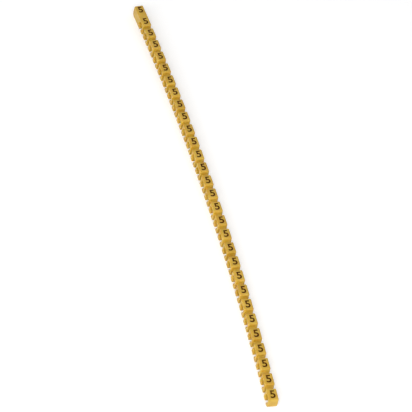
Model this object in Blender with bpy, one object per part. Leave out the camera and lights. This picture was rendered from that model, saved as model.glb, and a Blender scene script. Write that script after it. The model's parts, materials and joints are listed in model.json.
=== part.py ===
"""A strip of clip-on cable markers, moulded in one piece.

Each marker is a short block with a flat label on top. A round wire channel runs across the
block under the label, and opens downwards through a slit between two claws. Thin webs join
the markers, so that one can be snapped off and pressed over a wire. The first block, at the
far end, is solid and runs into the marker next to it: it is the end that the strip is held by.
The strip lies on the tips of its claws with a slight sideways bow.

Axes: +Y along the strip, +X across it (the way a wire runs), +Z up out of the labels.
"""

import math

import bmesh
import bpy
from mathutils import Matrix, Vector

MM = 0.001

# The strip
MARKER_COUNT = 30
MARKER_PITCH = 4.10 * MM
BOW_RADIUS = 820.0 * MM

# One marker, seen from the side that the wire comes out of
LABEL_LENGTH = 3.12 * MM
CLAW_SPAN = 3.20 * MM
MARKER_WIDTH = 2.30 * MM
MARKER_HEIGHT = 3.20 * MM
LABEL_WALL = 0.50 * MM
LABEL_EDGE_RADIUS = 0.32 * MM
TIP_RADIUS = 0.28 * MM

# The channel that grips the wire, and the slit that leads into it
CHANNEL_RADIUS = 1.05 * MM
SLIT_WIDTH = 0.80 * MM
SLIT_MOUTH_WIDTH = 1.05 * MM
SLIT_MOUTH_HEIGHT = 0.32 * MM

# Broken edges of the two open sides: how far in from the side they start, and how far they
# set back the outside, the channel and the height of the claw tips
SIDE_CHAMFER = 0.20 * MM
OUTSIDE_SET_BACK = 0.24 * MM
CHANNEL_SET_BACK = 0.12 * MM
TIP_SIDE_CHAMFER = 0.45 * MM

# The web between two markers
WEB_DEPTH = 0.95 * MM
WEB_THICKNESS = 0.45 * MM
WEB_WIDTH = 1.50 * MM

# Number of straight pieces in the round parts of the outline
CHANNEL_STEPS = 16
EDGE_STEPS = 2
TIP_STEPS = 2

# Moulded polyamide, golden yellow
PLASTIC_COLOUR = (0.62, 0.37, 0.045, 1.0)
PLASTIC_ROUGHNESS = 0.42

# Places on the outline that the webs and the closed gap of the first block join
FLANK_TOP = "flank top"
WEB_TOP = "web top"
WEB_BOTTOM = "web bottom"
FLANK_BOTTOM = "flank bottom"
FLANK_PLACES = (FLANK_TOP, WEB_TOP, WEB_BOTTOM, FLANK_BOTTOM)


def remove_scene_objects():
    """Delete every object that the opened file holds."""
    for existing in list(bpy.data.objects):
        bpy.data.objects.remove(existing, do_unlink=True)


def plastic():
    """Return the yellow plastic of the strip."""
    material = bpy.data.materials.new("yellow_polyamide")
    material.use_nodes = True
    shader = material.node_tree.nodes["Principled BSDF"]
    shader.inputs["Base Color"].default_value = PLASTIC_COLOUR
    shader.inputs["Roughness"].default_value = PLASTIC_ROUGHNESS
    shader.inputs["Metallic"].default_value = 0.0
    return material


def arc(centre, radius, start, end, steps):
    """Return points from angle start to angle end, both ends included."""
    points = []
    for step in range(steps + 1):
        angle = start + (end - start) * step / steps
        points.append(Vector((centre.x + radius * math.cos(angle), centre.y + radius * math.sin(angle))))
    return points


def flank_reach(height):
    """Return the half length of the block at a height, as its flanks taper towards the tips."""
    share = height / MARKER_HEIGHT
    return (CLAW_SPAN + (LABEL_LENGTH - CLAW_SPAN) * share) / 2


def half_outline():
    """Return the outline from the label's edge down one flank to the slit, and the flank's places.

    The first coordinate runs along the strip and the second is the height above the tips.
    """
    quarter = math.pi / 2
    web_top = MARKER_HEIGHT - WEB_DEPTH
    web_bottom = web_top - WEB_THICKNESS
    edge_centre = Vector((LABEL_LENGTH / 2 - LABEL_EDGE_RADIUS, MARKER_HEIGHT - LABEL_EDGE_RADIUS))
    tip_centre = Vector((CLAW_SPAN / 2 - TIP_RADIUS, TIP_RADIUS))
    channel_centre = channel_middle()
    throat = math.asin(SLIT_WIDTH / 2 / CHANNEL_RADIUS)
    throat_height = channel_centre.y - CHANNEL_RADIUS * math.cos(throat)

    points = arc(edge_centre, LABEL_EDGE_RADIUS, quarter, 0.0, EDGE_STEPS)
    places = {place: len(points) - 1 + step for step, place in enumerate(FLANK_PLACES)}
    points.append(Vector((flank_reach(web_top), web_top)))
    points.append(Vector((flank_reach(web_bottom), web_bottom)))
    points += arc(tip_centre, TIP_RADIUS, 0.0, -quarter, TIP_STEPS)
    points.append(Vector((SLIT_MOUTH_WIDTH / 2, 0.0)))
    points.append(Vector((SLIT_WIDTH / 2, min(SLIT_MOUTH_HEIGHT, throat_height * 0.9))))
    return points, places


def channel_middle():
    """Return the centre of the wire channel."""
    return Vector((0.0, MARKER_HEIGHT - LABEL_WALL - CHANNEL_RADIUS))


def channel_arc():
    """Return the wall of the wire channel, from one side of the slit round to the other."""
    throat = math.asin(SLIT_WIDTH / 2 / CHANNEL_RADIUS)
    start = -math.pi / 2 + throat
    end = start + 2 * math.pi - 2 * throat
    return arc(channel_middle(), CHANNEL_RADIUS, start, end, CHANNEL_STEPS)


def marker_outline(is_solid):
    """Return the closed side outline of a block, clockwise, its set-backs and its flank places.

    It starts on the label, runs down the flank at +Y, round the claw and the channel, and
    back up the other flank. A solid block has no slit and no channel. The set-backs say how
    far each point moves in at the open sides. The places are one table for each flank.
    """
    half, far_places = half_outline()
    inside = []
    if is_solid:
        half = half[:-2]
    else:
        inside = channel_arc()
    mirrored = [Vector((-point.x, point.y)) for point in reversed(half)]
    outline = half + inside + mirrored
    last = len(outline) - 1
    near_places = {place: last - index for place, index in far_places.items()}
    channel_points = 0 if is_solid else 2
    outside = [OUTSIDE_SET_BACK] * (len(half) - channel_points)
    channel = [CHANNEL_SET_BACK] * (len(inside) + 2 * channel_points)
    return outline, outside + channel + outside, (far_places, near_places)


def set_back(outline, distances):
    """Return the outline moved into the material, each point by its own distance."""
    moved = []
    count = len(outline)
    for index, (point, distance) in enumerate(zip(outline, distances)):
        before = (point - outline[index - 1]).normalized()
        after = (outline[(index + 1) % count] - point).normalized()
        inward_before = Vector((before.y, -before.x))
        inward_after = Vector((after.y, -after.x))
        corner = inward_before + inward_after
        moved.append(point + corner * (distance * 2 / corner.length_squared))
    return moved


def side_outline(outline, distances):
    """Return the outline of an open side: chamfered all round, and more so at the claw tips."""
    moved = set_back(outline, distances)
    return [Vector((point.x, max(point.y, TIP_SIDE_CHAMFER))) for point in moved]


def marker_place(index):
    """Return where a marker stands: its place and turn on the bowed strip, as a matrix."""
    along = ((MARKER_COUNT - 1) / 2 - index) * MARKER_PITCH
    turn = along / BOW_RADIUS
    middle = Vector((BOW_RADIUS * (math.cos(turn) - 1.0), BOW_RADIUS * math.sin(turn), 0.0))
    return Matrix.Translation(middle) @ Matrix.Rotation(turn, 4, "Z")


def add_ring(mesh, outline, across, place):
    """Add one copy of the outline at a distance across the strip, and return its vertices."""
    return [mesh.verts.new(place @ Vector((across, point.x, point.y))) for point in outline]


def add_flank(mesh, rings, places, place, joins_block, has_web):
    """Add one flank of a block, and return the open corners that its neighbour joins.

    A flank that joins the solid first block stays open from top to bottom. A flank with a web
    gets an opening of the web's width. The last flank of the strip is closed.
    """
    low = [rings[0][places[name]] for name in FLANK_PLACES]
    high = [rings[1][places[name]] for name in FLANK_PLACES]
    if joins_block:
        return low + list(reversed(high))
    if not has_web:
        for step in range(3):
            mesh.faces.new((low[step], high[step], high[step + 1], low[step + 1]))
        return []
    reach = abs((place.inverted() @ low[1].co).y), abs((place.inverted() @ low[2].co).y)
    side = 1 if (place.inverted() @ low[1].co).y > 0 else -1
    heights = (low[1].co.z, low[2].co.z)
    corners = []
    for across in (-WEB_WIDTH / 2, WEB_WIDTH / 2):
        for level in (0, 1):
            corners.append(mesh.verts.new(place @ Vector((across, side * reach[level], heights[level]))))
    low_top, low_bottom, high_top, high_bottom = corners
    mesh.faces.new((low[0], high[0], high[1], high_top, low_top, low[1]))
    mesh.faces.new((low[1], low_top, low_bottom, low[2]))
    mesh.faces.new((high_top, high[1], high[2], high_bottom))
    mesh.faces.new((low[2], low_bottom, high_bottom, high[2], high[3], low[3]))
    return [low_top, low_bottom, high_bottom, high_top]


def add_block(mesh, index):
    """Add one block of the strip as a loft across its width, and return its two open flanks."""
    place = marker_place(index)
    outline, distances, flank_places = marker_outline(is_solid=index == 0)
    side = side_outline(outline, distances)
    half = MARKER_WIDTH / 2
    stations = [(side, -half), (outline, SIDE_CHAMFER - half), (outline, half - SIDE_CHAMFER), (side, half)]
    rings = [add_ring(mesh, shape, across, place) for shape, across in stations]
    count = len(outline)
    flank_spans = set()
    for places in flank_places:
        first = min(places.values())
        flank_spans.update((first, first + 1, first + 2))
    for band in range(len(rings) - 1):
        low, high = rings[band], rings[band + 1]
        for point in range(count):
            if band == 1 and point in flank_spans:
                continue
            following = (point + 1) % count
            mesh.faces.new((low[point], low[following], high[following], high[point]))
    mesh.faces.new(list(reversed(rings[0])))
    mesh.faces.new(rings[-1])
    far = add_flank(mesh, rings[1:3], flank_places[0], place, index == 1, index > 1)
    near = add_flank(mesh, rings[1:3], flank_places[1], place, index == 0, index < MARKER_COUNT - 1)
    return far, near


def join_flanks(mesh, corners, next_corners):
    """Join the open corners of two facing flanks all round, as a web or as a closed gap."""
    count = len(corners)
    for index in range(count):
        following = (index + 1) % count
        mesh.faces.new((corners[index], corners[following], next_corners[following], next_corners[index]))


def strip_mesh():
    """Return the mesh of the whole strip, with its box centred on the origin and its tips at Z 0."""
    mesh = bmesh.new()
    flanks = [add_block(mesh, index) for index in range(MARKER_COUNT)]
    for (_, near_flank), (far_flank, _) in zip(flanks, flanks[1:]):
        join_flanks(mesh, near_flank, far_flank)
    bmesh.ops.recalc_face_normals(mesh, faces=mesh.faces)
    for axis in (0, 1):
        places = [vertex.co[axis] for vertex in mesh.verts]
        middle = (min(places) + max(places)) / 2
        for vertex in mesh.verts:
            vertex.co[axis] -= middle
    data = bpy.data.meshes.new("marker_strip")
    mesh.to_mesh(data)
    mesh.free()
    return data


def main():
    """Model the strip."""
    remove_scene_objects()
    data = strip_mesh()
    data.materials.append(plastic())
    data.shade_smooth()
    data.set_sharp_from_angle(angle=math.radians(35))
    strip = bpy.data.objects.new("marker_strip", data)
    bpy.context.scene.collection.objects.link(strip)


main()
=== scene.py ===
"""The looks of a moulded strip of clip-on cable markers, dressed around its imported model.

The strip is one yellow moulding of thirty small blocks, with a dark brown digit printed on
each label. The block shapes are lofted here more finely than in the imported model, one for each kind
of block, and a Geometry Nodes tree sets them along the slightly bowed strip. The same tree sets
the printed digits. Lengths are in metres. +Y runs along the strip to the far end, +X across it,
the way a wire runs, and +Z up out of the labels.
"""

import json
import logging
import math
from dataclasses import dataclass, field
from enum import Enum

import bmesh
import bpy
from mathutils import Matrix, Vector

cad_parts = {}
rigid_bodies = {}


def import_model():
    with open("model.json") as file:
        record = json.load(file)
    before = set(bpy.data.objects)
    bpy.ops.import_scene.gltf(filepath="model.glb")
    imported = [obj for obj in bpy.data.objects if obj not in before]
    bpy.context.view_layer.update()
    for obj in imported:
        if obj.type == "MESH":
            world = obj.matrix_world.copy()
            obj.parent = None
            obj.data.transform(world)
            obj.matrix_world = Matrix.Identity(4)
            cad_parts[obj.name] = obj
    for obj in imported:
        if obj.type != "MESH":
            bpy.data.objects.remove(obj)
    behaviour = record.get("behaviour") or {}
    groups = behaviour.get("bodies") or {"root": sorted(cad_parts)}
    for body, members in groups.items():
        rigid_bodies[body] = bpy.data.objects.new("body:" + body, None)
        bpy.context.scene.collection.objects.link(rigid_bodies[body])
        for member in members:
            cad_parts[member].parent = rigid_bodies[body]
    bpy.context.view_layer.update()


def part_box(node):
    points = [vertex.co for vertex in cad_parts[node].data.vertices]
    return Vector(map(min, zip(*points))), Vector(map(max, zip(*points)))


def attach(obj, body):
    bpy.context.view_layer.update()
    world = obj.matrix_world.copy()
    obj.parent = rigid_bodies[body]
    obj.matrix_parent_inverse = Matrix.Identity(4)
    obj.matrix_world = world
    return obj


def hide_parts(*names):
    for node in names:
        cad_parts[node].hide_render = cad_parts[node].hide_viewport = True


log = logging.getLogger("cable_marker")

MM = 0.001
SOLID_STRIP = "marker_strip"
BODY = "root"
PLASTIC_SLOT = "yellow_polyamide"
TONE_ATTRIBUTE = "tone"
REACH_TOLERANCE = 1e-7

Colour = tuple[float, float, float]
Flank = tuple[int, int, int, int]
WHITE: Colour = (1.0, 1.0, 1.0)


class BlockKind(Enum):
    """The kinds of block in the strip, by their place in it."""

    END_BLOCK = "end_block"
    FIRST_MARKER = "first_marker"
    MIDDLE_MARKER = "middle_marker"
    LAST_MARKER = "last_marker"


class FlankKind(Enum):
    """What is on one flank of a block."""

    CLOSED = "closed"
    WEB = "web"
    CLOSED_GAP = "closed gap"


FLANKS = {
    BlockKind.END_BLOCK: (FlankKind.CLOSED, FlankKind.CLOSED_GAP),
    BlockKind.FIRST_MARKER: (FlankKind.CLOSED_GAP, FlankKind.WEB),
    BlockKind.MIDDLE_MARKER: (FlankKind.WEB, FlankKind.WEB),
    BlockKind.LAST_MARKER: (FlankKind.WEB, FlankKind.CLOSED),
}


@dataclass
class MarkerSizes:
    """Sizes of one marker block, seen from the side that the wire comes out of.

    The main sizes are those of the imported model. The feet, the slit's mouth and the rounds at the
    open sides are shaped more finely than there.
    """

    label_length: float = 3.12 * MM
    claw_span: float = 3.20 * MM
    width: float = 2.30 * MM
    height: float = 3.20 * MM
    label_wall: float = 0.50 * MM
    label_edge_radius: float = 0.32 * MM
    tip_radius: float = 0.14 * MM
    end_tip_radius: float = 0.90 * MM
    channel_radius: float = 1.05 * MM
    slit_width: float = 0.80 * MM
    slit_mouth_width: float = 0.92 * MM
    slit_mouth_height: float = 0.32 * MM
    shoulder_reach: float = 0.33 * MM
    shoulder_depth: float = 0.24 * MM
    claw_side_reach: float = 0.12 * MM
    claw_side_depth: float = 0.08 * MM
    channel_side_reach: float = 0.12 * MM
    channel_side_depth: float = 0.08 * MM
    tip_side_reach: float = 0.20 * MM
    tip_side_lift: float = 0.16 * MM
    groove_reach: float = 0.22 * MM
    groove_depth: float = 0.06 * MM
    web_depth: float = 0.95 * MM
    web_thickness: float = 0.45 * MM
    web_width: float = 1.50 * MM
    web_neck: float = 0.62
    web_root: float = 0.90
    # Shares of the way to the middle of the gap where the web's root ends and its neck begins
    web_steps: tuple[float, float] = (0.16, 0.72)
    # How much of the web's thinning is also seen across the strip
    web_side_thinning: float = 0.25
    mouth_radius: float = 0.05 * MM
    # Least height of the mouth over a lifted foot, and the share of it that the round may take
    mouth_least_height: float = 0.07 * MM
    mouth_round_share: float = 0.6
    # Least straight piece between the mouth and the round at the throat
    mouth_least_gap: float = 0.02 * MM
    throat_radius: float = 0.06 * MM


@dataclass
class StripSizes:
    """How the blocks are set along the strip."""

    count: int = 30
    pitch: float = 4.10 * MM
    bow_radius: float = 820.0 * MM
    merge_distance: float = 0.01 * MM


@dataclass
class Smoothness:
    """Number of straight pieces in each round of a block's outline, and the steps across it.

    The steps are distances from the side in millimetres, and edges above the angle, in degrees,
    stay sharp.
    """

    label_edge: int = 5
    tip: int = 4
    mouth: int = 2
    throat: int = 3
    channel: int = 40
    across: tuple[float, ...] = (0.0, 0.02, 0.06, 0.11, 0.16, 0.20, 0.26, 0.33, 0.40)
    sharp_angle: float = 42.0


@dataclass
class BlockOutline:
    """One closed side outline of a block, and where its flanks are on it.

    Each table names the flank's points from its top to its bottom.
    """

    points: list[Vector]
    far_flank: Flank
    near_flank: Flank


@dataclass
class MarkerBlock:
    """Builds the mesh of one block, as a loft of its side outline across its width."""

    sizes: MarkerSizes = field(default_factory=MarkerSizes)
    smoothness: Smoothness = field(default_factory=Smoothness)
    pitch: float = StripSizes.pitch

    def build(self, kind: BlockKind) -> bpy.types.Object:
        """Build the mesh of one kind of block around the origin.

        Args:
            kind: The place of the block in the strip, which says what its flanks join.

        Returns:
            An object that is in no collection, for the strip's tree to repeat.
        """
        mesh = bmesh.new()
        stations = self._stations()
        outlines = [self._outline(kind, distance) for distance, _ in stations]
        rings = [
            [mesh.verts.new(Vector((across, point.x, point.y))) for point in outline.points]
            for outline, (_, across) in zip(outlines, stations)
        ]
        far_kind, near_kind = FLANKS[kind]
        open_faces = self._flank_cells(outlines[0].far_flank, stations, far_kind)
        open_faces |= self._flank_cells(outlines[0].near_flank, stations, near_kind)
        self._skin(mesh, rings, open_faces)
        for flank, flank_kind, side in (
            (outlines[0].far_flank, far_kind, 1.0),
            (outlines[0].near_flank, near_kind, -1.0),
        ):
            self._extend_flank(mesh, rings, flank, stations, flank_kind, side)
        bmesh.ops.recalc_face_normals(mesh, faces=mesh.faces)
        data = bpy.data.meshes.new(kind.value)
        mesh.to_mesh(data)
        mesh.free()
        data.shade_smooth()
        data.set_sharp_from_angle(angle=math.radians(self.smoothness.sharp_angle))
        return bpy.data.objects.new(kind.value, data)

    def _stations(self) -> list[tuple[float, float]]:
        """Lay out the stations of the loft.

        Returns:
            For each station, its distance from the nearer side and its X.
        """
        half = self.sizes.width / 2
        steps = [step * MM for step in self.smoothness.across]
        low = [(step, step - half) for step in steps]
        high = [(step, half - step) for step in reversed(steps)]
        return low + high

    def _rounded(self, distance: float, reach: float, depth: float) -> float:
        """Return how far a quarter round sets a surface back.

        Args:
            distance: Distance from the block's side.
            reach: Distance from the side at which the round begins.
            depth: How far the round sets the surface back at the side itself.

        Returns:
            The set-back at that distance, which is zero beyond the reach.
        """
        if distance >= reach:
            return 0.0
        share = 1.0 - distance / reach
        return depth * (1.0 - math.sqrt(1.0 - share * share))

    def _flank_reach(self, height: float) -> float:
        """Return half the length of the block at a height.

        Args:
            height: Height above the feet.

        Returns:
            The distance from the middle of the block to its flank.
        """
        sizes = self.sizes
        share = height / sizes.height
        return (sizes.claw_span + (sizes.label_length - sizes.claw_span) * share) / 2

    def _outline(self, kind: BlockKind, distance: float) -> BlockOutline:
        """Return the side outline of a block at a distance from its side.

        Args:
            kind: The kind of block. The end block has no slit and no channel.
            distance: Distance from the nearer side of the block.

        Returns:
            The outline, clockwise, from the label's edge down the far flank and back up.
        """
        far_kind, near_kind = FLANKS[kind]
        far, far_flank = self._half(kind, far_kind, distance)
        near, near_flank = self._half(kind, near_kind, distance)
        wall = []
        if kind is not BlockKind.END_BLOCK:
            wall = self._channel_wall(self._channel_set_back(distance))
        mirrored = [Vector((-point.x, point.y)) for point in reversed(near)]
        closed = far + wall + mirrored
        last = len(closed) - 1
        return BlockOutline(closed, far_flank, tuple(last - place for place in near_flank))

    def _half(
        self, kind: BlockKind, flank_kind: FlankKind, distance: float
    ) -> tuple[list[Vector], Flank]:
        """Return one half of the side outline, from the label's edge to the channel.

        Args:
            kind: The kind of block.
            flank_kind: What is on the flank of this half.
            distance: Distance from the nearer side of the block.

        Returns:
            The points, and the flank's places among them from top to bottom.
        """
        sizes = self.sizes
        shoulder = self._rounded(distance, sizes.shoulder_reach, sizes.shoulder_depth)
        lift = self._rounded(distance, sizes.tip_side_reach, sizes.tip_side_lift)
        if flank_kind is FlankKind.CLOSED_GAP:
            points, flank = self._joined_half(shoulder, lift)
        else:
            claw = self._rounded(distance, sizes.claw_side_reach, sizes.claw_side_depth)
            radius = sizes.end_tip_radius if flank_kind is FlankKind.CLOSED else sizes.tip_radius
            points, flank = self._free_half(shoulder, claw, lift, radius)
        if kind is not BlockKind.END_BLOCK:
            points += self._claw_inside(self._channel_set_back(distance), lift)
        return points, flank

    def _channel_set_back(self, distance: float) -> float:
        """Return how far the edge of the channel is rounded off at a distance from the side."""
        return self._rounded(distance, self.sizes.channel_side_reach, self.sizes.channel_side_depth)

    def _free_half(
        self, shoulder: float, claw: float, lift: float, tip_radius: float
    ) -> tuple[list[Vector], Flank]:
        """Return the outline from the label's edge to the foot, where the flank stands free.

        Args:
            shoulder: How far the label is set back.
            claw: How far the claw is set back.
            lift: How far the claw's tip is lifted.
            tip_radius: Radius of the round at the claw's tip.

        Returns:
            The points, and the flank's places among them.
        """
        sizes = self.sizes
        smooth = self.smoothness
        edge = sizes.label_edge_radius
        edge_centre = Vector((sizes.label_length / 2 - edge, sizes.height - edge))
        points = arc(edge_centre, edge - shoulder, 90.0, 0.0, smooth.label_edge)
        first = len(points) - 1
        web_top = sizes.height - sizes.web_depth
        web_bottom = web_top - sizes.web_thickness
        points.append(Vector((self._flank_reach(web_top) - (shoulder + claw) / 2, web_top)))
        points.append(Vector((self._flank_reach(web_bottom) - claw, web_bottom)))
        radius = tip_radius - claw
        tip_centre = Vector((sizes.claw_span / 2 - tip_radius, lift + radius))
        points += arc(tip_centre, radius, 0.0, -90.0, smooth.tip)
        return points, (first, first + 1, first + 2, first + 3)

    def _joined_half(self, shoulder: float, lift: float) -> tuple[list[Vector], Flank]:
        """Return the outline from the label to the foot, where the block runs into its neighbour.

        Args:
            shoulder: How far the label is set back.
            lift: How far the foot is lifted.

        Returns:
            The points up to the middle of the gap and down there, and the open flank's places
            among them.
        """
        sizes = self.sizes
        edge = self.pitch / 2
        steps = self.smoothness.label_edge
        points = []
        for step in range(steps + 1):
            share = step / steps
            along = edge - sizes.groove_reach * (1.0 - share)
            groove = sizes.groove_depth * share * share
            points.append(Vector((along, sizes.height - shoulder - groove)))
        first = len(points) - 1
        web_top = sizes.height - sizes.web_depth
        for height in (web_top, web_top - sizes.web_thickness, lift):
            points.append(Vector((edge, height)))
        return points, (first, first + 1, first + 2, first + 3)

    def _claw_inside(self, set_back: float, lift: float) -> list[Vector]:
        """Return the outline from the foot of a claw up the slit to the channel.

        Args:
            set_back: How far the slit and the channel are rounded off.
            lift: How far the foot is lifted.

        Returns:
            The points, from the round at the mouth to the round at the throat.
        """
        sizes = self.sizes
        smooth = self.smoothness
        wall = sizes.slit_width / 2 + set_back
        mouth = sizes.slit_mouth_width / 2 + set_back
        mouth_top = max(sizes.slit_mouth_height, lift + sizes.mouth_least_height)
        fillet, tangent = self._throat(set_back)
        on_foot = Vector((mouth + MM, lift))
        corner = Vector((mouth, lift))
        slit_start = Vector((wall, mouth_top))
        radius = min(sizes.mouth_radius, (mouth_top - lift) * sizes.mouth_round_share)
        points = rounded_corner(on_foot, corner, slit_start, radius, smooth.mouth)
        points.append(Vector((wall, min(mouth_top, fillet.y - sizes.mouth_least_gap))))
        end = math.degrees(math.atan2(tangent.y - fillet.y, tangent.x - fillet.x))
        points += arc(fillet, sizes.throat_radius, 180.0, end, smooth.throat)
        return points

    def _throat(self, set_back: float) -> tuple[Vector, Vector]:
        """Place the small round between the slit and the channel.

        Args:
            set_back: How far the slit and the channel are rounded off.

        Returns:
            The round's centre, and the point where it meets the channel.
        """
        sizes = self.sizes
        centre = Vector((0.0, sizes.height - sizes.label_wall - sizes.channel_radius))
        channel = sizes.channel_radius + set_back
        side = sizes.slit_width / 2 + set_back + sizes.throat_radius
        reach = channel + sizes.throat_radius
        fillet = Vector((side, centre.y - math.sqrt(reach * reach - side * side)))
        return fillet, centre + (fillet - centre) * (channel / reach)

    def _channel_wall(self, set_back: float) -> list[Vector]:
        """Return the wall of the channel, between the two small rounds at the slit.

        Args:
            set_back: How far the channel's edge is rounded off.

        Returns:
            The points, without those that the small rounds already have.
        """
        sizes = self.sizes
        centre = Vector((0.0, sizes.height - sizes.label_wall - sizes.channel_radius))
        _, tangent = self._throat(set_back)
        start = math.degrees(math.atan2(tangent.y - centre.y, tangent.x))
        radius = sizes.channel_radius + set_back
        return arc(centre, radius, start, 180.0 - start, self.smoothness.channel)[1:-1]

    def _flank_cells(
        self, flank: Flank, stations: list[tuple[float, float]], kind: FlankKind
    ) -> set[tuple[int, int]]:
        """Return the cells of the skin that a flank leaves open.

        Args:
            flank: The flank's places on the outline.
            stations: The stations of the loft.
            kind: What the flank joins.

        Returns:
            The cells, as (band, outline point).
        """
        if kind is FlankKind.CLOSED:
            return set()
        first, last = self._opening_stations(stations, kind)
        low = min(flank)
        spans = (low + 1,) if kind is FlankKind.WEB else (low, low + 1, low + 2)
        return {(band, span) for band in range(first, last) for span in spans}

    def _opening_stations(
        self, stations: list[tuple[float, float]], kind: FlankKind
    ) -> tuple[int, int]:
        """Find the opening that a web or a closed gap needs.

        Args:
            stations: The stations of the loft.
            kind: What the flank joins.

        Returns:
            The first and the last station of the opening.
        """
        if kind is FlankKind.CLOSED_GAP:
            return 0, len(stations) - 1
        reach = self.sizes.web_width / 2 + REACH_TOLERANCE
        inside = [index for index, (_, across) in enumerate(stations) if abs(across) <= reach]
        return inside[0], inside[-1]

    def _skin(
        self,
        mesh: bmesh.types.BMesh,
        rings: list[list[bmesh.types.BMVert]],
        open_faces: set[tuple[int, int]],
    ) -> None:
        """Join the rings with faces, apart from the open cells, and close both sides.

        Args:
            mesh: The mesh that the faces are added to.
            rings: One ring of vertices for each station.
            open_faces: The cells that stay open, as (band, outline point).
        """
        count = len(rings[0])
        for band, (low, high) in enumerate(zip(rings, rings[1:])):
            for point in range(count):
                if (band, point) in open_faces:
                    continue
                following = (point + 1) % count
                mesh.faces.new((low[point], low[following], high[following], high[point]))
        mesh.faces.new(list(reversed(rings[0])))
        mesh.faces.new(rings[-1])

    def _extend_flank(
        self,
        mesh: bmesh.types.BMesh,
        rings: list[list[bmesh.types.BMVert]],
        flank: Flank,
        stations: list[tuple[float, float]],
        kind: FlankKind,
        side: float,
    ) -> None:
        """Carry the rim of a flank's opening to the middle of the gap, as half a web.

        Args:
            mesh: The mesh that the faces are added to.
            rings: One ring of vertices for each station.
            flank: The flank's places on the outline, from top to bottom.
            stations: The stations of the loft.
            kind: What the flank joins.
            side: 1 for the far flank and -1 for the near one.
        """
        if kind is not FlankKind.WEB:
            return
        first, last = self._opening_stations(stations, kind)
        top, bottom = flank[1], flank[2]
        step = 1 if bottom > top else -1
        levels = list(range(top, bottom + step, step))
        rim = [rings[station][top] for station in range(first, last + 1)]
        rim += [rings[last][level] for level in levels[1:]]
        rim += [rings[station][bottom] for station in range(last - 1, first - 1, -1)]
        rim += [rings[first][level] for level in reversed(levels[1:-1])]
        middle_height = sum(vertex.co.z for vertex in rim) / len(rim)
        gap = self.pitch / 2
        root, neck = self.sizes.web_root, self.sizes.web_neck
        root_end, neck_start = self.sizes.web_steps
        sections = ((root_end, root), (neck_start, root), (1.0, neck))
        before = rim
        for share, thinning in sections:
            ring = []
            for vertex in rim:
                along = abs(vertex.co.y) + (gap - abs(vertex.co.y)) * share
                height = middle_height + (vertex.co.z - middle_height) * thinning
                across = vertex.co.x * (1.0 - (1.0 - thinning) * self.sizes.web_side_thinning)
                ring.append(mesh.verts.new(Vector((across, side * along, height))))
            for index in range(len(rim)):
                following = (index + 1) % len(rim)
                mesh.faces.new((before[index], before[following], ring[following], ring[index]))
            before = ring


def arc(centre: Vector, radius: float, start: float, end: float, steps: int) -> list[Vector]:
    """Return points on a round.

    Args:
        centre: Middle of the round.
        radius: Radius of the round.
        start: First angle in degrees.
        end: Last angle in degrees.
        steps: Number of straight pieces.

    Returns:
        The points, both ends included.
    """
    angles = [math.radians(start + (end - start) * step / steps) for step in range(steps + 1)]
    return [centre + Vector((math.cos(angle), math.sin(angle))) * radius for angle in angles]


def rounded_corner(
    before: Vector, corner: Vector, after: Vector, radius: float, steps: int
) -> list[Vector]:
    """Return points that round off a corner of an outline.

    Args:
        before: A point on the line that leads into the corner.
        corner: The sharp corner.
        after: A point on the line that leaves the corner.
        radius: Radius of the round.
        steps: Number of straight pieces.

    Returns:
        The points of the round, from the line before the corner to the line after it.
    """
    into = (before - corner).normalized()
    out = (after - corner).normalized()
    half_angle = into.angle(out) / 2
    reach = radius / math.tan(half_angle)
    centre = corner + (into + out).normalized() * (radius / math.sin(half_angle))
    first = corner + into * reach - centre
    last = corner + out * reach - centre
    turn = first.angle_signed(last)
    points = []
    for step in range(steps + 1):
        angle = -turn * step / steps
        cosine, sine = math.cos(angle), math.sin(angle)
        turned = (first.x * cosine - first.y * sine, first.x * sine + first.y * cosine)
        points.append(centre + Vector(turned))
    return points


@dataclass
class PrintedDigit:
    """Builds the digit that is printed on each label, as a thin film of ink."""

    text: str = "5"
    height: float = 2.02 * MM
    boldness: float = 0.022
    roundness: int = 5
    sunk: float = 0.01 * MM
    proud: float = 0.015 * MM
    forward: float = 0.02 * MM

    def build(self, label_height: float) -> bpy.types.Object:
        """Build the mesh of the digit on a label at that height.

        Args:
            label_height: Height of the label's face.

        Returns:
            An object that is in no collection, for the strip's tree to repeat.
        """
        curve = bpy.data.curves.new("digit", "FONT")
        curve.body = self.text
        curve.size = 1.0
        curve.offset = self.boldness
        curve.resolution_u = self.roundness
        curve.fill_mode = "BOTH"
        curve.extrude = 0.5
        source = bpy.data.objects.new("digit_outline", curve)
        bpy.context.scene.collection.objects.link(source)
        shape = source.evaluated_get(bpy.context.evaluated_depsgraph_get())
        data = bpy.data.meshes.new_from_object(shape)
        bpy.data.objects.remove(source, do_unlink=True)
        low = [min(vertex.co[axis] for vertex in data.vertices) for axis in range(3)]
        high = [max(vertex.co[axis] for vertex in data.vertices) for axis in range(3)]
        scale = self.height / (high[1] - low[1])
        middle = Vector([(a + b) / 2 for a, b in zip(low, high)])
        thickness = (self.sunk + self.proud) / (high[2] - low[2])
        level = label_height + (self.proud - self.sunk) / 2
        place = (
            Matrix.Translation(Vector((0.0, self.forward, level)))
            @ Matrix.Diagonal((scale, scale, thickness, 1.0))
            @ Matrix.Translation(-middle)
        )
        data.transform(place)
        data.name = "digit"
        return bpy.data.objects.new("digit", data)


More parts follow.
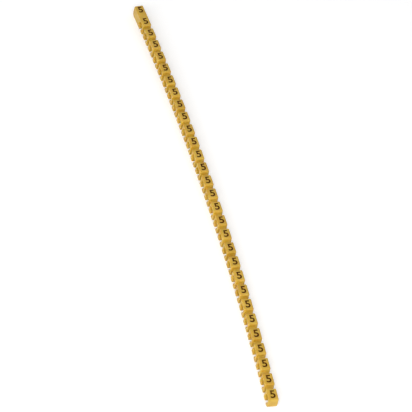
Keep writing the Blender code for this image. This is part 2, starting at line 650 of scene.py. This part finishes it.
@dataclass
class TreeWriter:
    """Adds nodes and links to a node tree."""

    tree: bpy.types.NodeTree

    def add(self, kind: str, **settings: object) -> bpy.types.Node:
        """Add a node.

        Args:
            kind: The node's type.
            settings: Properties of the node, by name.

        Returns:
            The new node.
        """
        node = self.tree.nodes.new(kind)
        for name, value in settings.items():
            setattr(node, name, value)
        return node

    def join(self, source: bpy.types.NodeSocket, target: bpy.types.NodeSocket) -> None:
        """Link an output to an input."""
        self.tree.links.new(source, target)

    def feed(self, value: object, target: bpy.types.NodeSocket) -> None:
        """Link an output to an input, or set the input to a plain value.

        Args:
            value: The output or the value.
            target: The input.
        """
        if isinstance(value, bpy.types.NodeSocket):
            self.join(value, target)
        else:
            target.default_value = value

    def maths(self, operation: str, *values: object) -> bpy.types.NodeSocket:
        """Add a Math node.

        Args:
            operation: What the node does.
            values: Its inputs in order, each an output or a number.

        Returns:
            The node's output.
        """
        node = self.add("ShaderNodeMath", operation=operation)
        for place, value in enumerate(values):
            self.feed(value, node.inputs[place])
        return node.outputs[0]

    def compare(self, operation: str, first: object, second: object) -> bpy.types.NodeSocket:
        """Add a Compare node on two numbers.

        Args:
            operation: How the numbers are compared.
            first: The first number or output.
            second: The second number or output.

        Returns:
            The node's output, true or false.
        """
        node = self.add("FunctionNodeCompare", data_type="FLOAT", operation=operation)
        self.feed(first, node.inputs[0])
        self.feed(second, node.inputs[1])
        return node.outputs[0]

    def both(
        self, first: bpy.types.NodeSocket, second: bpy.types.NodeSocket
    ) -> bpy.types.NodeSocket:
        """Add a node that is true where both inputs are.

        Args:
            first: The first condition.
            second: The second condition.

        Returns:
            The node's output.
        """
        node = self.add("FunctionNodeBooleanMath", operation="AND")
        self.join(first, node.inputs[0])
        self.join(second, node.inputs[1])
        return node.outputs[0]


@dataclass
class StripTree:
    """The Geometry Nodes tree that sets the blocks, or the digits, along the bowed strip."""

    name: str = "set_along_strip"
    seed: int = 7

    def build(self) -> bpy.types.NodeTree:
        """Build the tree, with its sizes and pieces as named inputs.

        Returns:
            The node tree, ready for a Nodes modifier.
        """
        tree = bpy.data.node_groups.new(self.name, "GeometryNodeTree")
        self._add_sockets(tree.interface)
        nodes = TreeWriter(tree)
        given = nodes.add("NodeGroupInput")
        index = nodes.add("GeometryNodeInputIndex").outputs[0]
        last = nodes.maths("SUBTRACT", given.outputs["Count"], 1.0)
        middle = nodes.maths("MULTIPLY", last, 0.5)
        steps = nodes.maths("SUBTRACT", middle, index)
        along = nodes.maths("MULTIPLY", steps, given.outputs["Pitch"])
        turn = nodes.maths("DIVIDE", along, given.outputs["Bow Radius"])
        sideways = nodes.maths("SUBTRACT", nodes.maths("COSINE", turn), 1.0)
        place = nodes.add("ShaderNodeCombineXYZ")
        radius, apex = given.outputs["Bow Radius"], given.outputs["Apex"]
        nodes.join(nodes.maths("MULTIPLY_ADD", radius, sideways, apex), place.inputs["X"])
        nodes.join(nodes.maths("MULTIPLY", radius, nodes.maths("SINE", turn)), place.inputs["Y"])

        points = nodes.add("GeometryNodePoints")
        nodes.join(given.outputs["Count"], points.inputs["Count"])
        nodes.join(place.outputs["Vector"], points.inputs["Position"])
        tone = nodes.add("FunctionNodeRandomValue", data_type="FLOAT")
        tone.inputs["Seed"].default_value = self.seed
        store = nodes.add("GeometryNodeStoreNamedAttribute", data_type="FLOAT", domain="POINT")
        store.inputs["Name"].default_value = TONE_ATTRIBUTE
        nodes.join(points.outputs[0], store.inputs["Geometry"])
        shade = next(out for out in tone.outputs if out.enabled and out.type == "VALUE")
        nodes.join(shade, store.inputs["Value"])

        angles = nodes.add("ShaderNodeCombineXYZ")
        nodes.join(turn, angles.inputs["Z"])
        rotation = nodes.add("FunctionNodeEulerToRotation")
        nodes.join(angles.outputs["Vector"], rotation.inputs[0])

        after_first = nodes.compare("GREATER_THAN", index, 1.0)
        before_last = nodes.compare("LESS_THAN", index, last)
        chosen = {
            BlockKind.END_BLOCK: nodes.compare("EQUAL", index, 0.0),
            BlockKind.FIRST_MARKER: nodes.compare("EQUAL", index, 1.0),
            BlockKind.MIDDLE_MARKER: nodes.both(after_first, before_last),
            BlockKind.LAST_MARKER: nodes.compare("EQUAL", index, last),
        }
        together = nodes.add("GeometryNodeJoinGeometry")
        for kind, selection in chosen.items():
            piece = nodes.add("GeometryNodeObjectInfo")
            piece.inputs["As Instance"].default_value = True
            nodes.join(given.outputs[self.piece_input(kind)], piece.inputs["Object"])
            copies = nodes.add("GeometryNodeInstanceOnPoints")
            nodes.join(store.outputs["Geometry"], copies.inputs["Points"])
            nodes.join(selection, copies.inputs["Selection"])
            nodes.join(piece.outputs["Geometry"], copies.inputs["Instance"])
            nodes.join(rotation.outputs[0], copies.inputs["Rotation"])
            nodes.join(copies.outputs["Instances"], together.inputs["Geometry"])

        merged = nodes.add("GeometryNodeMergeByDistance")
        real = nodes.add("GeometryNodeRealizeInstances")
        dressed = nodes.add("GeometryNodeSetMaterial")
        result = nodes.add("NodeGroupOutput")
        nodes.join(together.outputs["Geometry"], real.inputs["Geometry"])
        nodes.join(real.outputs["Geometry"], merged.inputs["Geometry"])
        nodes.join(given.outputs["Merge Distance"], merged.inputs["Distance"])
        nodes.join(merged.outputs["Geometry"], dressed.inputs["Geometry"])
        nodes.join(given.outputs["Material"], dressed.inputs["Material"])
        nodes.join(dressed.outputs["Geometry"], result.inputs["Geometry"])
        return tree

    def _add_sockets(self, face: bpy.types.NodeTreeInterface) -> None:
        """Add the tree's named inputs and its output.

        Args:
            face: The interface of the tree.
        """
        face.new_socket("Geometry", in_out="INPUT", socket_type="NodeSocketGeometry")
        face.new_socket("Count", in_out="INPUT", socket_type="NodeSocketInt")
        for label in ("Pitch", "Bow Radius", "Apex", "Merge Distance"):
            face.new_socket(label, in_out="INPUT", socket_type="NodeSocketFloat")
        for kind in BlockKind:
            face.new_socket(self.piece_input(kind), in_out="INPUT", socket_type="NodeSocketObject")
        face.new_socket("Material", in_out="INPUT", socket_type="NodeSocketMaterial")
        face.new_socket("Geometry", in_out="OUTPUT", socket_type="NodeSocketGeometry")

    @staticmethod
    def piece_input(kind: BlockKind) -> str:
        """Return the name of the input that takes the piece of a kind."""
        return kind.value.replace("_", " ").title()


@dataclass
class MarkerStrip:
    """The moulded strip of blocks and the digits printed on it."""

    block: MarkerBlock = field(default_factory=MarkerBlock)
    layout: StripSizes = field(default_factory=StripSizes)
    digit: PrintedDigit = field(default_factory=PrintedDigit)

    def build(
        self, apex: float, plastic: bpy.types.Material, ink: bpy.types.Material
    ) -> list[bpy.types.Object]:
        """Build the moulding and the print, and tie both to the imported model.

        Args:
            apex: X of the middle line of the strip, at the top of its bow.
            plastic: Material of the moulding.
            ink: Material of the print.

        Returns:
            The two finished pieces.
        """
        tree = StripTree().build()
        blocks = {kind: self.block.build(kind) for kind in BlockKind}
        moulding = self._row("moulded_strip", tree, blocks, apex, plastic)
        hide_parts(SOLID_STRIP)
        digit = self.digit.build(self.block.sizes.height)
        digits = self._row("printed_digits", tree, {kind: digit for kind in BlockKind}, apex, ink)
        pieces = [moulding, digits]
        for piece in pieces:
            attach(piece, BODY)
        for source in [*blocks.values(), digit]:
            bpy.data.objects.remove(source, do_unlink=True)
        return pieces

    def _row(
        self,
        name: str,
        tree: bpy.types.NodeTree,
        sources: dict[BlockKind, bpy.types.Object],
        apex: float,
        material: bpy.types.Material,
    ) -> bpy.types.Object:
        """Set copies of the given objects along the strip and return them as one plain mesh.

        Args:
            name: Name of the new piece.
            tree: The tree that sets the copies.
            sources: The object for each kind of block.
            apex: X of the strip's middle line at the top of its bow.
            material: Material of the piece.

        Returns:
            The new piece, at the origin and with no modifiers.
        """
        holder = bpy.data.objects.new(name + "_row", bpy.data.meshes.new(name + "_row"))
        bpy.context.scene.collection.objects.link(holder)
        values = {
            "Count": self.layout.count,
            "Pitch": self.layout.pitch,
            "Bow Radius": self.layout.bow_radius,
            "Apex": apex,
            "Merge Distance": self.layout.merge_distance,
            "Material": material,
        }
        values.update({StripTree.piece_input(kind): source for kind, source in sources.items()})
        modifier = holder.modifiers.new("row", "NODES")
        modifier.node_group = tree
        for socket in tree.interface.items_tree:
            if socket.in_out == "INPUT" and socket.name in values:
                modifier[socket.identifier] = values[socket.name]
        weighted = holder.modifiers.new("flat faces stay flat", "WEIGHTED_NORMAL")
        weighted.keep_sharp = True
        evaluated = holder.evaluated_get(bpy.context.evaluated_depsgraph_get())
        data = bpy.data.meshes.new_from_object(evaluated)
        data.name = name
        bpy.data.objects.remove(holder, do_unlink=True)
        piece = bpy.data.objects.new(name, data)
        bpy.context.scene.collection.objects.link(piece)
        return piece


def noise(
    nodes: TreeWriter, place: bpy.types.NodeSocket, scale: object, detail: float
) -> bpy.types.NodeSocket:
    """Add a noise texture.

    Args:
        nodes: The writer of the tree.
        place: The coordinates that the noise reads.
        scale: Its scale, a number or an output.
        detail: Its detail.

    Returns:
        The noise's value.
    """
    node = nodes.add("ShaderNodeTexNoise")
    nodes.join(place, node.inputs["Vector"])
    nodes.feed(scale, node.inputs["Scale"])
    node.inputs["Detail"].default_value = detail
    return node.outputs[0]


def ramp(
    nodes: TreeWriter, source: bpy.types.NodeSocket, stops: tuple[tuple[float, Colour], ...]
) -> bpy.types.NodeSocket:
    """Add a colour ramp.

    Args:
        nodes: The writer of the material's tree.
        source: The value that the ramp reads.
        stops: Places and colours.

    Returns:
        The ramp's colour output.
    """
    node = nodes.add("ShaderNodeValToRGB")
    elements = node.color_ramp.elements
    while len(elements) < len(stops):
        elements.new(0.5)
    for element, (place, colour) in zip(elements, stops):
        element.position = place
        element.color = (*colour, 1.0)
    nodes.join(source, node.inputs[0])
    return node.outputs[0]


def darkened(
    nodes: TreeWriter, share: float, colour: bpy.types.NodeSocket, shade: bpy.types.NodeSocket
) -> bpy.types.NodeSocket:
    """Multiply a colour by a shade.

    Args:
        nodes: The writer of the material's tree.
        share: How much of the shade is used.
        colour: The colour.
        shade: The shade, which is white where the colour stays.

    Returns:
        The darkened colour.
    """
    node = nodes.add("ShaderNodeMix", data_type="RGBA", blend_type="MULTIPLY")
    nodes.feed(share, node.inputs[0])
    nodes.join(colour, node.inputs[6])
    nodes.join(shade, node.inputs[7])
    return node.outputs[2]


def add_grain(
    nodes: TreeWriter,
    grain: bpy.types.NodeTree,
    roughness: tuple[float, float],
    bump: tuple[float, float],
) -> bpy.types.Node:
    """Place the fine grain group in a material, for its shader's roughness and normal.

    Args:
        nodes: The writer of the material's tree.
        grain: The fine grain node group.
        roughness: The lowest roughness, and how much the mask adds to it.
        bump: The bump's strength and its distance.

    Returns:
        The placed group, which takes its own scales and puts out its mask.
    """
    shader = nodes.tree.nodes["Principled BSDF"]
    surface = nodes.add("ShaderNodeGroup")
    surface.node_tree = grain
    nodes.join(nodes.add("ShaderNodeTexCoord").outputs["Object"], surface.inputs["Position"])
    lowest, swing = roughness
    rough = nodes.maths("MULTIPLY_ADD", surface.outputs["Mask"], swing, lowest)
    nodes.join(rough, shader.inputs["Roughness"])
    relief = nodes.add("ShaderNodeBump")
    relief.inputs["Strength"].default_value, relief.inputs["Distance"].default_value = bump
    nodes.join(surface.outputs["Height"], relief.inputs["Height"])
    nodes.join(relief.outputs["Normal"], shader.inputs["Normal"])
    return surface


@dataclass(frozen=True)
class FineGrain:
    """The fine surface of moulded and printed faces."""

    grain_scale: float = 9000.0
    grain_detail: float = 3.0
    grain_share: float = 0.35
    wave_scale: float = 700.0
    wave_detail: float = 2.0
    wave_share: float = 0.5
    mask_gain: float = 4.0

    def group(self) -> bpy.types.NodeTree:
        """Build the shader node group.

        Returns:
            A group that puts out a height and a mask, from a position and named sizes.
        """
        tree = bpy.data.node_groups.new("fine_grain", "ShaderNodeTree")
        face = tree.interface
        face.new_socket("Position", in_out="INPUT", socket_type="NodeSocketVector")
        for label, value in (
            ("Grain Scale", self.grain_scale),
            ("Wave Scale", self.wave_scale),
            ("Wave Share", self.wave_share),
        ):
            socket = face.new_socket(label, in_out="INPUT", socket_type="NodeSocketFloat")
            socket.default_value = value
        face.new_socket("Height", in_out="OUTPUT", socket_type="NodeSocketFloat")
        face.new_socket("Mask", in_out="OUTPUT", socket_type="NodeSocketFloat")
        nodes = TreeWriter(tree)
        given = nodes.add("NodeGroupInput").outputs
        result = nodes.add("NodeGroupOutput").inputs
        fine = noise(nodes, given["Position"], given["Grain Scale"], self.grain_detail)
        wave = noise(nodes, given["Position"], given["Wave Scale"], self.wave_detail)
        waves = nodes.maths("MULTIPLY", wave, given["Wave Share"])
        height = nodes.maths("MULTIPLY_ADD", fine, self.grain_share, waves)
        mask = nodes.maths("MULTIPLY", nodes.maths("MULTIPLY", fine, wave), self.mask_gain)
        nodes.join(height, result["Height"])
        nodes.join(mask, result["Mask"])
        return tree


@dataclass(frozen=True)
class YellowPolyamide:
    """Golden yellow moulded polyamide, satin, with slight differences from block to block."""

    colour: Colour = (0.59, 0.365, 0.032)
    deeper: Colour = (0.54, 0.315, 0.020)
    paler: Colour = (0.64, 0.41, 0.054)
    cloud_scale: float = 420.0
    cloud_detail: float = 3.0
    cloud_stops: tuple[float, float, float] = (0.30, 0.50, 0.72)
    block_shade: Colour = (0.95, 0.94, 0.92)
    speck_scale: float = 5200.0
    speck_detail: float = 1.0
    speck_shade: Colour = (0.88, 0.86, 0.82)
    speck_stops: tuple[float, float] = (0.25, 0.42)
    speck_share: float = 0.5
    roughness: float = 0.42
    roughness_swing: float = 0.10
    bump: float = 0.35
    bump_distance: float = 0.004 * MM
    ior: float = 1.53
    translucency: float = 0.45
    translucent_tint: Colour = (1.0, 0.55, 0.12)
    translucent_depth: float = 0.50 * MM

    def material(self, grain: bpy.types.NodeTree) -> bpy.types.Material:
        """Build the material.

        Args:
            grain: The fine grain node group.

        Returns:
            The material.
        """
        material = bpy.data.materials.new(PLASTIC_SLOT)
        material.use_nodes = True
        nodes = TreeWriter(material.node_tree)
        shader = material.node_tree.nodes["Principled BSDF"]
        place = nodes.add("ShaderNodeTexCoord").outputs["Object"]
        clouds = noise(nodes, place, self.cloud_scale, self.cloud_detail)
        tints = (self.deeper, self.colour, self.paler)
        colour = ramp(nodes, clouds, tuple(zip(self.cloud_stops, tints)))
        tone = nodes.add("ShaderNodeAttribute", attribute_name=TONE_ATTRIBUTE)
        shade = ramp(nodes, tone.outputs["Fac"], ((0.0, self.block_shade), (1.0, WHITE)))
        colour = darkened(nodes, 1.0, colour, shade)
        specks = noise(nodes, place, self.speck_scale, self.speck_detail)
        speckle = ramp(nodes, specks, tuple(zip(self.speck_stops, (self.speck_shade, WHITE))))
        colour = darkened(nodes, self.speck_share, colour, speckle)
        nodes.join(colour, shader.inputs["Base Color"])
        lowest = self.roughness - self.roughness_swing / 2
        bump = (self.bump, self.bump_distance)
        add_grain(nodes, grain, (lowest, self.roughness_swing), bump)
        shader.inputs["IOR"].default_value = self.ior
        shader.inputs["Subsurface Weight"].default_value = self.translucency
        shader.inputs["Subsurface Radius"].default_value = self.translucent_tint
        shader.inputs["Subsurface Scale"].default_value = self.translucent_depth
        return material


@dataclass(frozen=True)
class PrintedInk:
    """Dark brown printing ink, a little thinner in places."""

    colour: Colour = (0.042, 0.011, 0.0004)
    thin: Colour = (0.085, 0.028, 0.0010)
    thin_stops: tuple[float, float] = (0.55, 0.90)
    grain_scale: float = 6500.0
    wave_scale: float = 1500.0
    roughness: float = 0.55
    roughness_swing: float = 0.10
    bump: float = 0.3
    bump_distance: float = 0.003 * MM
    ior: float = 1.50
    gloss: float = 0.08

    def material(self, grain: bpy.types.NodeTree) -> bpy.types.Material:
        """Build the material.

        Args:
            grain: The fine grain node group.

        Returns:
            The material.
        """
        material = bpy.data.materials.new("brown_print")
        material.use_nodes = True
        nodes = TreeWriter(material.node_tree)
        shader = material.node_tree.nodes["Principled BSDF"]
        bump = (self.bump, self.bump_distance)
        surface = add_grain(nodes, grain, (self.roughness, self.roughness_swing), bump)
        surface.inputs["Grain Scale"].default_value = self.grain_scale
        surface.inputs["Wave Scale"].default_value = self.wave_scale
        stops = tuple(zip(self.thin_stops, (self.colour, self.thin)))
        nodes.join(ramp(nodes, surface.outputs["Mask"], stops), shader.inputs["Base Color"])
        shader.inputs["IOR"].default_value = self.ior
        shader.inputs["Specular IOR Level"].default_value = self.gloss
        return material


@dataclass(frozen=True)
class PaleFloor:
    """A plain pale floor that shows white to the camera and keeps the strip's shadow."""

    colour: Colour = (0.86, 0.86, 0.86)
    glow: float = 0.24
    roughness: float = 0.9
    gloss: float = 0.1
    half_size: float = 1.5

    def material(self) -> bpy.types.Material:
        """Build the floor's material, with a glow that only the camera, gloss and glass see.

        Returns:
            The material.
        """
        material = bpy.data.materials.new("pale_floor")
        material.use_nodes = True
        nodes = TreeWriter(material.node_tree)
        shader = material.node_tree.nodes["Principled BSDF"]
        shader.inputs["Base Color"].default_value = (*self.colour, 1.0)
        shader.inputs["Roughness"].default_value = self.roughness
        shader.inputs["Specular IOR Level"].default_value = self.gloss
        shader.inputs["Emission Color"].default_value = (*WHITE, 1.0)
        rays = nodes.add("ShaderNodeLightPath")
        seen = nodes.maths("MAXIMUM", rays.outputs["Is Camera Ray"], rays.outputs["Is Glossy Ray"])
        seen = nodes.maths("MAXIMUM", seen, rays.outputs["Is Transmission Ray"])
        nodes.join(nodes.maths("MULTIPLY", seen, self.glow), shader.inputs["Emission Strength"])
        return material

    def build(self) -> None:
        """Build the floor under the strip."""
        reach = self.half_size
        ends = ((-reach, -reach), (reach, -reach), (reach, reach), (-reach, reach))
        corners = [(across, along, 0.0) for across, along in ends]
        data = bpy.data.meshes.new("floor")
        data.from_pydata(corners, [], [(0, 1, 2, 3)])
        data.materials.append(self.material())
        floor = bpy.data.objects.new("floor", data)
        bpy.context.scene.collection.objects.link(floor)


@dataclass
class Lamp:
    """A soft square lamp that shines at the strip."""

    name: str
    place: tuple[float, float, float]
    size: float
    power: float

    def build(self) -> None:
        """Build the lamp, turned to the origin."""
        light = bpy.data.lights.new(self.name, "AREA")
        light.energy = self.power
        light.size = self.size
        lamp = bpy.data.objects.new(self.name, light)
        place = Vector(self.place)
        turned = place.to_track_quat("Z", "Y").to_matrix().to_4x4()
        lamp.matrix_world = Matrix.Translation(place) @ turned
        bpy.context.scene.collection.objects.link(lamp)


@dataclass
class Camera:
    """The camera at the photograph's viewing angle."""

    eye: Vector = field(default_factory=lambda: Vector((-132.663, -260.658, 345.080)) * MM)
    aim: Vector = field(default_factory=lambda: Vector((-0.883, -4.448, 1.580)) * MM)
    roll: float = 14.946
    lens: float = 164.06
    sensor: float = 36.0
    nearest: float = 0.01

    def build(self) -> None:
        """Build the camera and make it the scene's own."""
        back = (self.eye - self.aim).normalized()
        level = Vector((0.0, 0.0, 1.0)).cross(back).normalized()
        upright = back.cross(level)
        roll = math.radians(self.roll)
        right = level * math.cos(roll) + upright * math.sin(roll)
        up = upright * math.cos(roll) - level * math.sin(roll)
        settings = bpy.data.cameras.new("photo_camera")
        settings.sensor_fit = "HORIZONTAL"
        settings.sensor_width = self.sensor
        settings.lens = self.lens
        settings.clip_start = self.nearest
        camera = bpy.data.objects.new("photo_camera", settings)
        turned = Matrix((right, up, back)).transposed().to_4x4()
        camera.matrix_world = Matrix.Translation(self.eye) @ turned
        bpy.context.scene.collection.objects.link(camera)
        bpy.context.scene.camera = camera


@dataclass
class Studio:
    """The pale floor, the even light and the camera around the strip."""

    sky_strength: float = 0.46
    floor: PaleFloor = field(default_factory=PaleFloor)
    camera: Camera = field(default_factory=Camera)
    lamps: tuple[Lamp, ...] = (
        Lamp("beside_camera", (-0.15, -0.29, 0.38), 0.25, 0.95),
        Lamp("left", (-0.38, -0.26, 0.20), 0.35, 1.08),
        Lamp("front", (-0.02, -0.42, 0.28), 0.45, 0.45),
        Lamp("back", (0.16, 0.30, 0.42), 0.40, 0.25),
    )

    def build(self) -> None:
        """Build all that isn't part of the strip."""
        self.floor.build()
        self.camera.build()
        for lamp in self.lamps:
            lamp.build()
        world = bpy.data.worlds.new("even_sky")
        world.use_nodes = True
        sky = world.node_tree.nodes["Background"]
        sky.inputs["Color"].default_value = (*WHITE, 1.0)
        sky.inputs["Strength"].default_value = self.sky_strength
        scene = bpy.context.scene
        scene.world = world
        scene.view_settings.view_transform = "Standard"


def remove_startup_objects() -> None:
    """Delete every object that the opened file holds."""
    for existing in list(bpy.data.objects):
        bpy.data.objects.remove(existing, do_unlink=True)


def main() -> None:
    """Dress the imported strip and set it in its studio."""
    logging.basicConfig(level=logging.INFO, format="%(name)s: %(message)s")
    remove_startup_objects()
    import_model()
    grain = FineGrain().group()
    plastic = YellowPolyamide().material(grain)
    ink = PrintedInk().material(grain)
    strip = MarkerStrip()
    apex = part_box(SOLID_STRIP)[1].x - strip.block.sizes.width / 2
    for piece in strip.build(apex, plastic, ink):
        log.info("%s: %d faces", piece.name, len(piece.data.polygons))
    Studio().build()


if __name__ == "__main__":
    main()
